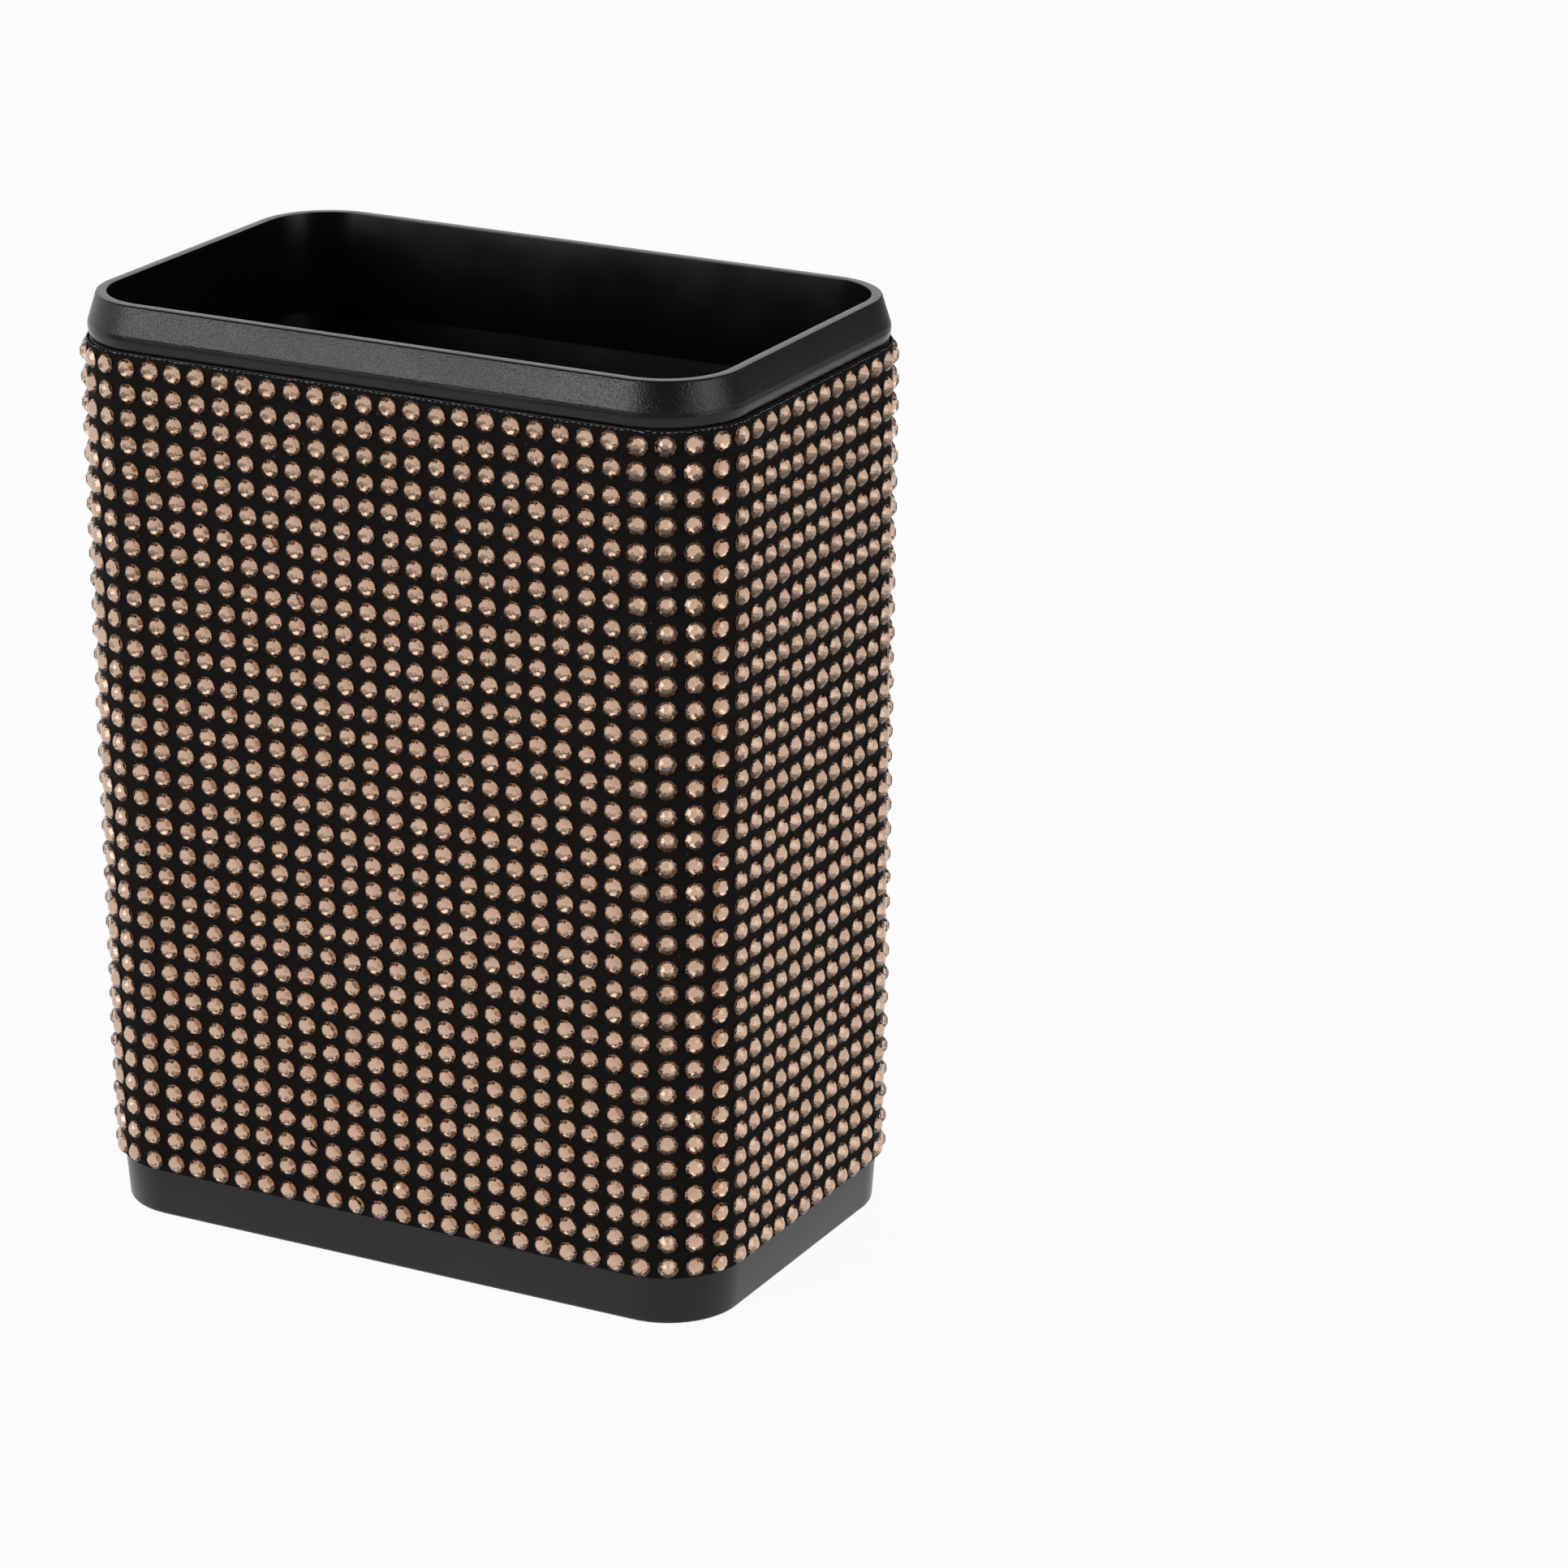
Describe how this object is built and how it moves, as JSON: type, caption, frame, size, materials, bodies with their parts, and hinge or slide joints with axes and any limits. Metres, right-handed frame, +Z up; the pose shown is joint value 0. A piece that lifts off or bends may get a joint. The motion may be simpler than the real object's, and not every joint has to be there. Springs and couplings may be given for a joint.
{
  "type": "car trash bin",
  "caption": "Open rounded rectangular bin for a car cabin, its walls wrapped in a stone-set cloth sleeve under a lift-off ring that traps the bag.",
  "frame": {"origin": "middle of the standing plane under the base", "axes": "+Z up, the front wall faces -Y, +X to the right seen from the front"},
  "size_m": [0.1482, 0.0938, 0.1922],
  "materials": {
    "black_plastic": "satin",
    "ring_plastic": "fine grain",
    "sleeve_cloth": "matte",
    "rose_stone": "faceted, foiled"
  },
  "bodies": {
    "bin": {"bucket": "black_plastic", "sleeve": "sleeve_cloth", "rhinestones": "rose_stone"},
    "ring": {"bag_ring": "ring_plastic"}
  },
  "joints": [
    {"name": "ring_lift", "type": "slide", "parent": "bin", "child": "ring", "axis": [0, 0, 1], "range_m": [0, 0.04]}
  ]
}
